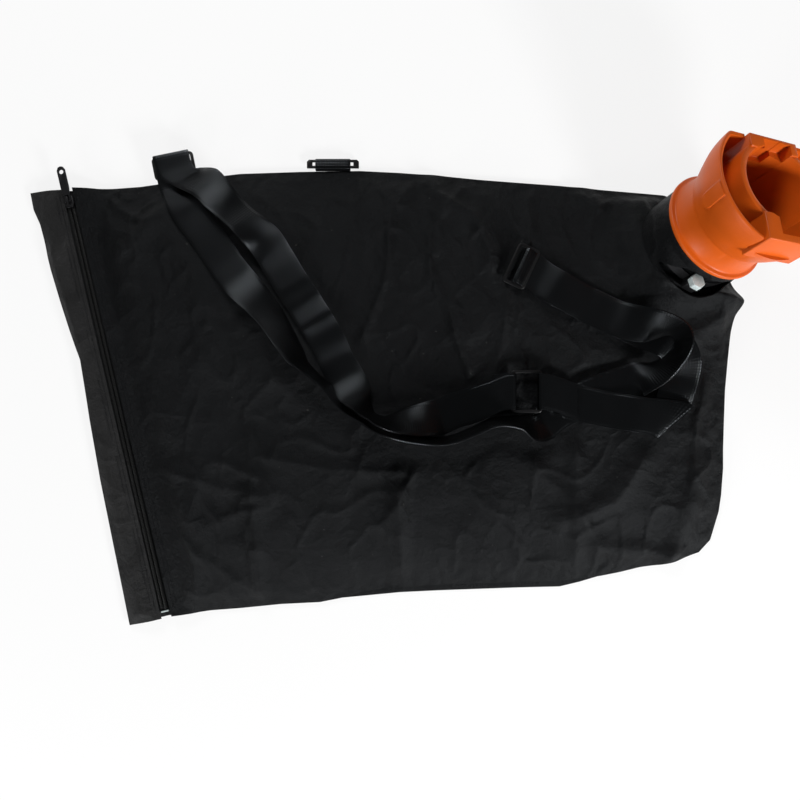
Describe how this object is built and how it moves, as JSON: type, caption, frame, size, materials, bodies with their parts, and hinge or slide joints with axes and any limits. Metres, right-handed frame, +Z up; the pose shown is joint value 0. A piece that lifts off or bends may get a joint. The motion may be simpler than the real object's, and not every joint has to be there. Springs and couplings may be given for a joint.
{
  "type": "leaf vacuum collection bag",
  "caption": "Flat zipped fabric collection bag with an orange moulded inlet collar leaning out of its corner neck and a long webbing shoulder strap.",
  "frame": {"origin": "middle of the footprint, on the ground under the back panel", "axes": "+X along the bag from the zip towards the collar, +Y across it towards the collar's edge, +Z up"},
  "size_m": [0.787, 0.4952, 0.1614],
  "materials": {
    "body_cloth": "woven black polyester",
    "end_cloth": "woven dark grey polyester",
    "webbing": "ribbed black webbing with a slight sheen",
    "zip_tape": "black zip tape with its coil",
    "black_plastic": "black moulded plastic",
    "black_metal": "black coated metal",
    "zinc": "pale zinc plating",
    "orange_plastic": "orange moulded plastic, satin to gloss"
  },
  "bodies": {
    "bag": {"back_panel": "body_cloth", "front_panel": "body_cloth", "end_strip": "end_cloth", "neck_sleeve": "body_cloth", "clamp_band": "black_metal", "clamp_housing": "black_plastic", "clamp_screw": "zinc", "collar": "orange_plastic", "zip_tape_body": "zip_tape", "zip_tape_end": "zip_tape", "zip_stop_top": "black_metal", "zip_stop_bottom": "zinc", "shoulder_strap": "webbing", "adjuster_left": "black_plastic", "adjuster_right": "black_plastic", "junction_ring": "black_plastic", "rear_ring": "black_plastic", "rear_tab": "webbing"},
    "slider": {"zip_slider": "black_metal"},
    "pull": {"zip_pull": "black_metal"}
  },
  "joints": [
    {"name": "zip_slide", "type": "slide", "parent": "bag", "child": "slider", "axis": [0.2264, -0.974, 0], "range_m": [0, 0.43]},
    {"name": "pull_swing", "type": "hinge", "parent": "slider", "child": "pull", "pos_m": [-0.34953, 0.19497, 0.015], "axis": [0.974, 0.2264, 0], "range_deg": [0, 165]}
  ]
}
